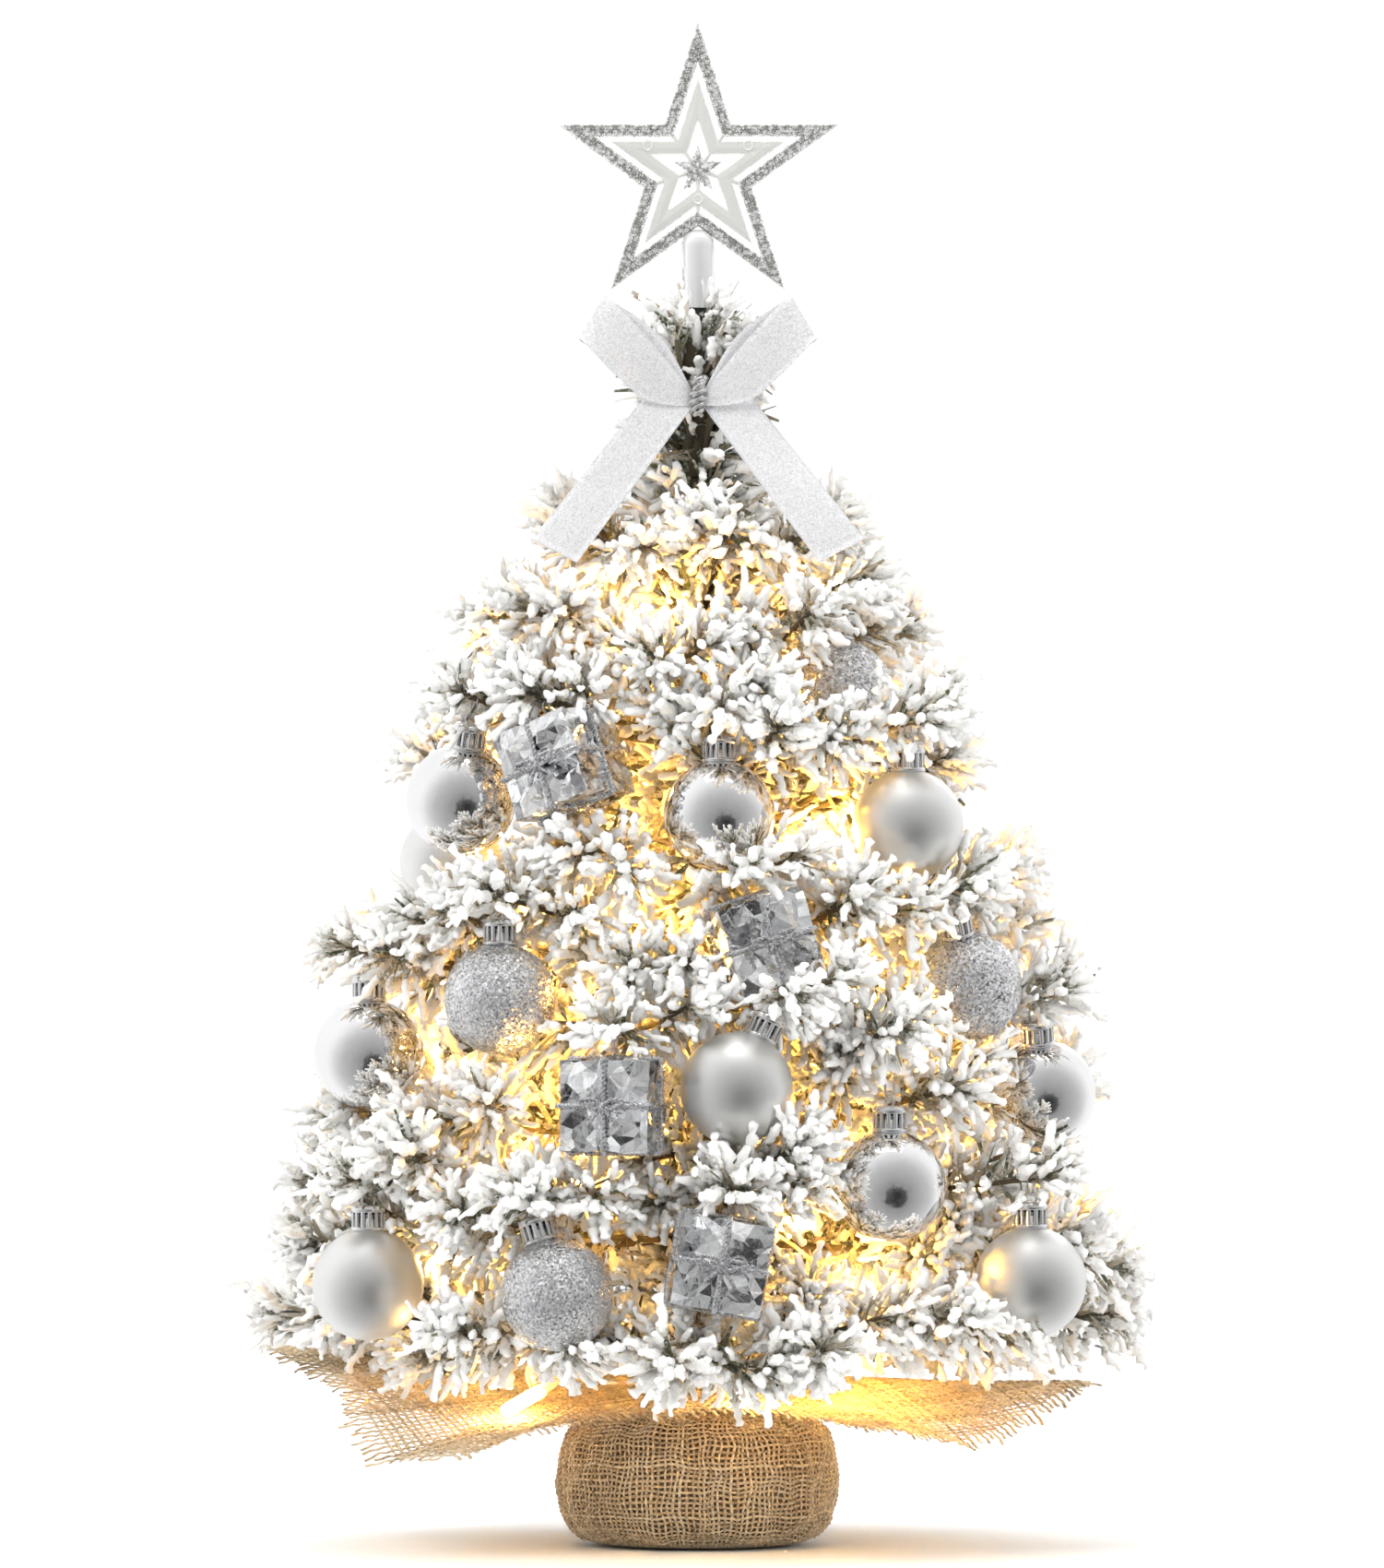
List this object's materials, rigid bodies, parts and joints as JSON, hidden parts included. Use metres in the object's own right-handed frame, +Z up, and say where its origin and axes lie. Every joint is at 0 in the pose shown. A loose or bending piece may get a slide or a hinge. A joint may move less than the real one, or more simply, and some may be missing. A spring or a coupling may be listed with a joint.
{
  "type": "decorated tabletop tree",
  "caption": "Flocked artificial tabletop tree with silver ornaments, foil gifts, ribbon bow, star topper, warm lights and burlap base.",
  "frame": {"origin": "centre of the flat underside of the base, on the table", "axes": "+Z up the trunk, -Y towards the front, +X to the right seen from the front"},
  "size_m": [0.3115, 0.3005, 0.561],
  "materials": {
    "concrete_core": "matte",
    "jute_cloth": "matte",
    "jute_twine": "matte",
    "dark_steel": "matte",
    "flocked_pvc": "matte",
    "silver_moulding": "gloss",
    "glitter_ribbon": "satin",
    "silver_wire": "gloss",
    "clear_wire": "gloss",
    "warm_bulb": "gloss",
    "black_plastic": "matte",
    "battery_wrap": "gloss",
    "nickel": "satin",
    "shiny_silver": "gloss",
    "matte_silver": "matte",
    "glitter_silver": "satin",
    "silver_foil": "gloss"
  },
  "bodies": {
    "tree": {"base_weight": "concrete_core", "burlap_bag": "jute_cloth", "burlap_collar": "jute_cloth", "neck_twine": "jute_twine", "trunk_pole": "dark_steel", "branches_tier_1": "flocked_pvc", "branches_tier_2": "flocked_pvc", "branches_tier_3": "flocked_pvc", "branches_tier_4": "flocked_pvc", "branches_tier_5": "flocked_pvc", "branches_tier_6": "flocked_pvc", "branches_tier_7": "flocked_pvc", "treetop_leader": "flocked_pvc", "bow_loops": "glitter_ribbon", "bow_tails": "glitter_ribbon", "bow_tie_wire": "silver_wire", "light_wire": "clear_wire", "led_bulbs": "warm_bulb", "battery_case": "black_plastic", "battery_cells": "battery_wrap", "battery_contacts": "nickel"},
    "star_topper": {"star_frame": "silver_moulding", "star_socket": "silver_moulding"},
    "door": {"battery_door": "black_plastic"},
    "switch": {"power_switch": "black_plastic"},
    "bottom_branch_right_body": {"bottom_branch_right": "flocked_pvc"},
    "bottom_branch_back_right_body": {"bottom_branch_back_right": "flocked_pvc"},
    "bottom_branch_back_body": {"bottom_branch_back": "flocked_pvc"},
    "bottom_branch_back_left_body": {"bottom_branch_back_left": "flocked_pvc"},
    "bottom_branch_left_body": {"bottom_branch_left": "flocked_pvc"},
    "shiny_ball_1_body": {"shiny_ball_1": "shiny_silver"},
    "shiny_ball_2_body": {"shiny_ball_2": "shiny_silver"},
    "shiny_ball_3_body": {"shiny_ball_3": "shiny_silver"},
    "shiny_ball_4_body": {"shiny_ball_4": "shiny_silver"},
    "shiny_ball_5_body": {"shiny_ball_5": "shiny_silver"},
    "matte_ball_1_body": {"matte_ball_1": "matte_silver"},
    "matte_ball_2_body": {"matte_ball_2": "matte_silver"},
    "matte_ball_3_body": {"matte_ball_3": "matte_silver"},
    "matte_ball_4_body": {"matte_ball_4": "matte_silver"},
    "matte_ball_5_body": {"matte_ball_5": "matte_silver"},
    "glitter_ball_1_body": {"glitter_ball_1": "glitter_silver"},
    "glitter_ball_2_body": {"glitter_ball_2": "glitter_silver"},
    "glitter_ball_3_body": {"glitter_ball_3": "glitter_silver"},
    "glitter_ball_4_body": {"glitter_ball_4": "glitter_silver"},
    "shiny_ball_6_body": {"shiny_ball_6": "shiny_silver"},
    "matte_ball_6_body": {"matte_ball_6": "matte_silver"},
    "glitter_ball_5_body": {"glitter_ball_5": "glitter_silver"},
    "gift_box_1_body": {"gift_box_1": "silver_foil"},
    "gift_box_2_body": {"gift_box_2": "silver_foil"},
    "gift_box_3_body": {"gift_box_3": "silver_foil"},
    "gift_box_4_body": {"gift_box_4": "silver_foil"},
    "gift_box_5_body": {"gift_box_5": "silver_foil"}
  },
  "joints": [
    {"name": "star_lift", "type": "slide", "parent": "tree", "child": "star_topper", "axis": [0, 0, 1], "range_m": [0, 0.035]},
    {"name": "door_slide", "type": "slide", "parent": "tree", "child": "door", "axis": [0, 1, 0], "range_m": [0, 0.04]},
    {"name": "switch_slide", "type": "slide", "parent": "tree", "child": "switch", "axis": [0, 1, 0], "range_m": [0, 0.004]},
    {"name": "bottom_branch_right_bend", "type": "hinge", "parent": "tree", "child": "bottom_branch_right_body", "pos_m": [0.00826, -0.00087, 0.075], "axis": [-0.1045, -0.9945, 0], "range_deg": [0, 14]},
    {"name": "bottom_branch_back_right_bend", "type": "hinge", "parent": "tree", "child": "bottom_branch_back_right_body", "pos_m": [0.00636, 0.00534, 0.075], "axis": [0.6428, -0.766, 0], "range_deg": [0, 14]},
    {"name": "bottom_branch_back_bend", "type": "hinge", "parent": "tree", "child": "bottom_branch_back_body", "pos_m": [0.00029, 0.0083, 0.075], "axis": [0.9994, -0.0349, 0], "range_deg": [0, 12]},
    {"name": "bottom_branch_back_left_bend", "type": "hinge", "parent": "tree", "child": "bottom_branch_back_left_body", "pos_m": [-0.00597, 0.00577, 0.075], "axis": [0.6947, 0.7193, 0], "range_deg": [0, 14]},
    {"name": "bottom_branch_left_bend", "type": "hinge", "parent": "tree", "child": "bottom_branch_left_body", "pos_m": [-0.00826, -0.00087, 0.075], "axis": [-0.1045, 0.9945, 0], "range_deg": [0, 14]},
    {"name": "shiny_ball_1_swing", "type": "hinge", "parent": "tree", "child": "shiny_ball_1_body", "pos_m": [-0.08057, -0.05915, 0.30911], "axis": [-0.8643, -0.5031, 0], "range_deg": [0, 8]},
    {"name": "shiny_ball_2_swing", "type": "hinge", "parent": "tree", "child": "shiny_ball_2_body", "pos_m": [-0.1196, -0.04, 0.2174], "axis": [-0.9484, -0.3172, 0], "range_deg": [-8, 8]},
    {"name": "shiny_ball_3_swing", "type": "hinge", "parent": "tree", "child": "shiny_ball_3_body", "pos_m": [0.0076, -0.08, 0.303], "axis": [0.0946, -0.9955, 0], "range_deg": [-8, 8]},
    {"name": "shiny_ball_4_swing", "type": "hinge", "parent": "tree", "child": "shiny_ball_4_body", "pos_m": [0.1223, -0.04124, 0.20127], "axis": [0.9724, -0.2334, 0], "range_deg": [-8, 0]},
    {"name": "shiny_ball_5_swing", "type": "hinge", "parent": "tree", "child": "shiny_ball_5_body", "pos_m": [0.068, -0.105, 0.1885], "axis": [0.5436, -0.8394, 0], "range_deg": [-8, 8]},
    {"name": "matte_ball_1_swing", "type": "hinge", "parent": "tree", "child": "matte_ball_1_body", "pos_m": [0.0756, -0.068, 0.2999], "axis": [0.7435, -0.6687, 0], "range_deg": [-8, 8]},
    {"name": "matte_ball_2_swing", "type": "hinge", "parent": "tree", "child": "matte_ball_2_body", "pos_m": [0.02979, -0.11918, 0.20161], "axis": [0.1109, -0.9938, 0], "range_deg": [0, 8]},
    {"name": "matte_ball_3_swing", "type": "hinge", "parent": "tree", "child": "matte_ball_3_body", "pos_m": [-0.1182, -0.08, 0.135], "axis": [-0.8281, -0.5605, 0], "range_deg": [-8, 8]},
    {"name": "matte_ball_4_swing", "type": "hinge", "parent": "tree", "child": "matte_ball_4_body", "pos_m": [0.119, -0.08, 0.1359], "axis": [0.8299, -0.5579, 0], "range_deg": [-8, 8]},
    {"name": "matte_ball_5_swing", "type": "hinge", "parent": "tree", "child": "matte_ball_5_body", "pos_m": [-0.09, 0.006, 0.2879], "axis": [-0.9978, 0.0665, 0], "range_deg": [-8, 8]},
    {"name": "glitter_ball_1_swing", "type": "hinge", "parent": "tree", "child": "glitter_ball_1_body", "pos_m": [0.051, -0.022, 0.3488], "axis": [0.9182, -0.3961, 0], "range_deg": [-4, 8]},
    {"name": "glitter_ball_2_swing", "type": "hinge", "parent": "tree", "child": "glitter_ball_2_body", "pos_m": [-0.0708, -0.09, 0.2372], "axis": [-0.6183, -0.786, 0], "range_deg": [-8, 8]},
    {"name": "glitter_ball_3_swing", "type": "hinge", "parent": "tree", "child": "glitter_ball_3_body", "pos_m": [0.09035, -0.07058, 0.23871], "axis": [0.8502, -0.5264, 0], "range_deg": [-8, 0]},
    {"name": "glitter_ball_4_swing", "type": "hinge", "parent": "tree", "child": "glitter_ball_4_body", "pos_m": [-0.06054, -0.12072, 0.13087], "axis": [-0.3701, -0.929, 0], "range_deg": [-8, 0]},
    {"name": "shiny_ball_6_swing", "type": "hinge", "parent": "tree", "child": "shiny_ball_6_body", "pos_m": [0.066, 0.092, 0.2334], "axis": [0.5829, 0.8125, 0], "range_deg": [-8, 8]},
    {"name": "matte_ball_6_swing", "type": "hinge", "parent": "tree", "child": "matte_ball_6_body", "pos_m": [-0.078, 0.104, 0.1874], "axis": [-0.6, 0.8, 0], "range_deg": [-8, 8]},
    {"name": "glitter_ball_5_swing", "type": "hinge", "parent": "tree", "child": "glitter_ball_5_body", "pos_m": [-0.04, 0.078, 0.2954], "axis": [-0.4563, 0.8898, 0], "range_deg": [-8, 8]},
    {"name": "gift_box_1_swing", "type": "hinge", "parent": "tree", "child": "gift_box_1_body", "pos_m": [-0.05588, -0.07006, 0.30889], "axis": [-0.5406, -0.8413, 0], "range_deg": [-8, 0]},
    {"name": "gift_box_2_swing", "type": "hinge", "parent": "tree", "child": "gift_box_2_body", "pos_m": [0.01511, -0.09583, 0.24553], "axis": [0.2347, -0.9721, 0], "range_deg": [-6, 2]},
    {"name": "gift_box_3_swing", "type": "hinge", "parent": "tree", "child": "gift_box_3_body", "pos_m": [-0.0295, -0.122, 0.1885], "axis": [-0.235, -0.972, 0], "range_deg": [-8, 1]},
    {"name": "gift_box_4_swing", "type": "hinge", "parent": "tree", "child": "gift_box_4_body", "pos_m": [0.01203, -0.12773, 0.13229], "axis": [0.0577, -0.9983, 0], "range_deg": [0, 8]},
    {"name": "gift_box_5_swing", "type": "hinge", "parent": "tree", "child": "gift_box_5_body", "pos_m": [0.022, 0.11, 0.1787], "axis": [0.1961, 0.9806, 0], "range_deg": [-8, 8]}
  ]
}
